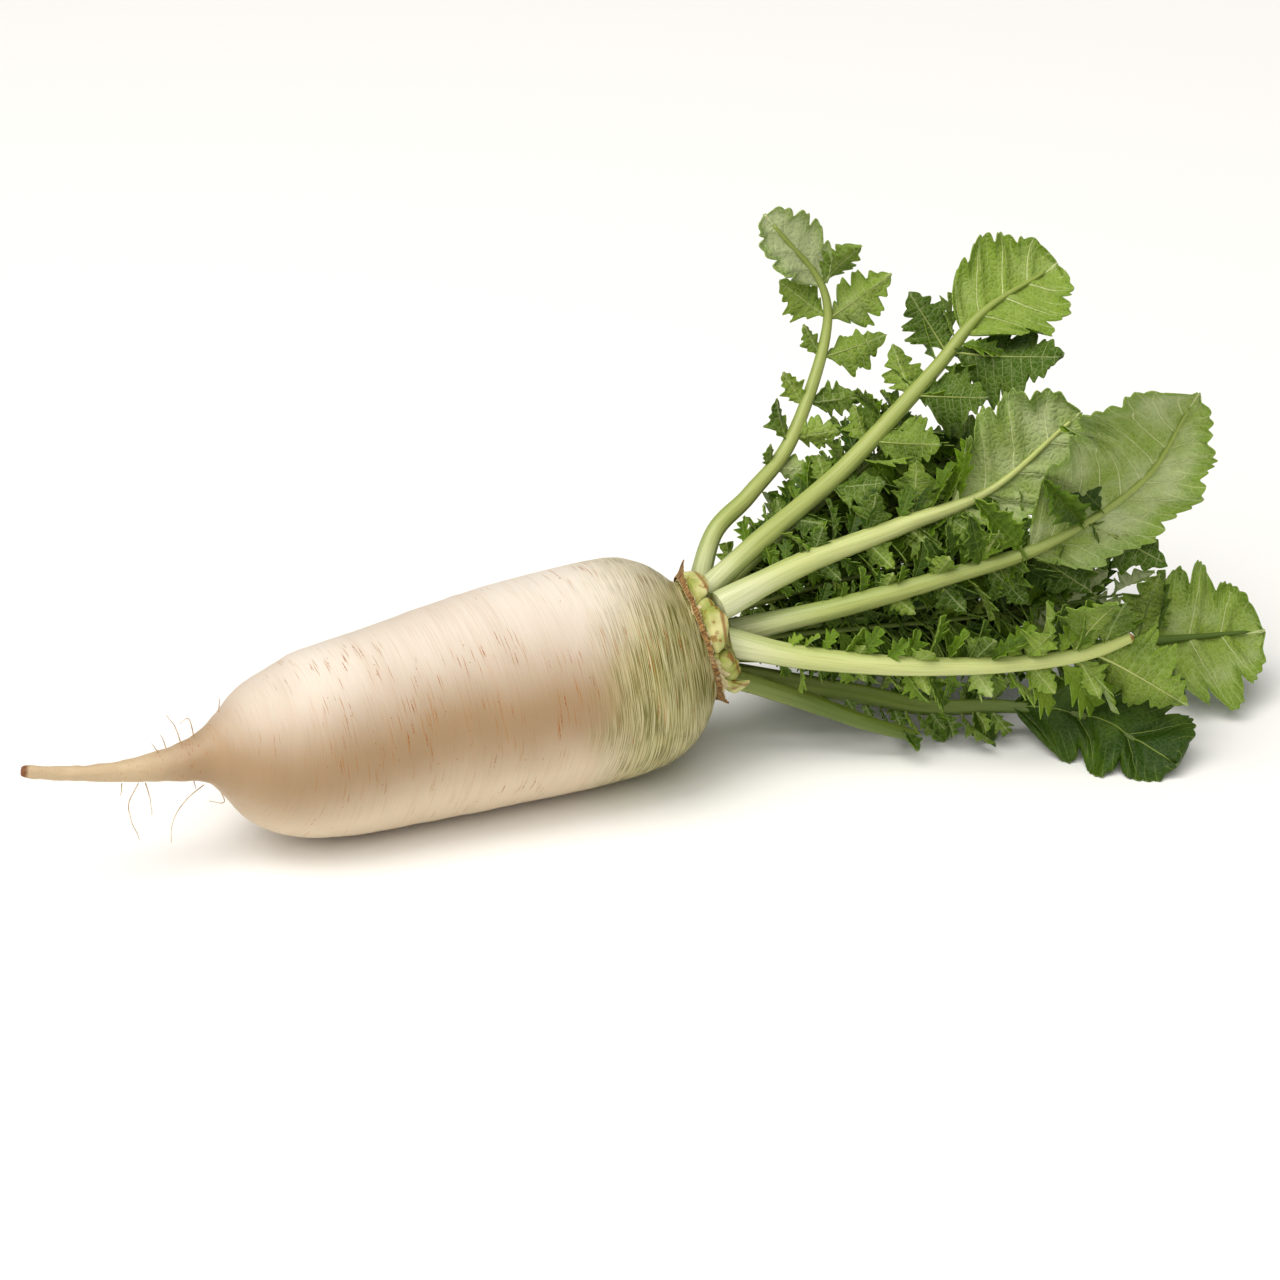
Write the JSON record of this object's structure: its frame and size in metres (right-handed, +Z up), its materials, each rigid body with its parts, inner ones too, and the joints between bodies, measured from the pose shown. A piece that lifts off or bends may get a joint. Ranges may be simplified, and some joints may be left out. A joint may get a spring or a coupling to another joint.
{
  "type": "daikon radish",
  "caption": "Stout white daikon radish with a green shoulder, a long tap root, a dry collar and its toothed leaves, lying on its side.",
  "frame": {"origin": "a point in the middle of the flat spot that the root lies on", "axes": "+X from the root's tip towards the leaves, +Z up, -Y towards the side that shows in the picture"},
  "size_m": [0.5201, 0.1804, 0.2043],
  "materials": {
    "root_skin": "smooth, faintly moist living root skin, cream with a green shoulder and thin brown marks round it",
    "leaf_green": "living leaf: waxy pale green stalks, dark green upper sides and paler veined undersides",
    "stub_flesh": "cut and drying leaf feet, matt yellow-green",
    "dry_collar": "dry brown papery leaf feet, matt"
  },
  "bodies": {
    "root": {"root": "root_skin", "leaf_far_top": "leaf_green", "leaf_top": "leaf_green", "leaf_upper": "leaf_green", "leaf_broad": "leaf_green", "leaf_front": "leaf_green", "leaf_short": "leaf_green", "leaf_table": "leaf_green", "leaf_end": "leaf_green", "leaf_heart_high": "leaf_green", "leaf_heart_low": "leaf_green", "leaf_back": "leaf_green", "leaf_back_low": "leaf_green", "stub_upper": "stub_flesh", "stub_side": "stub_flesh", "stub_lower": "stub_flesh", "collar": "dry_collar"}
  },
  "joints": []
}
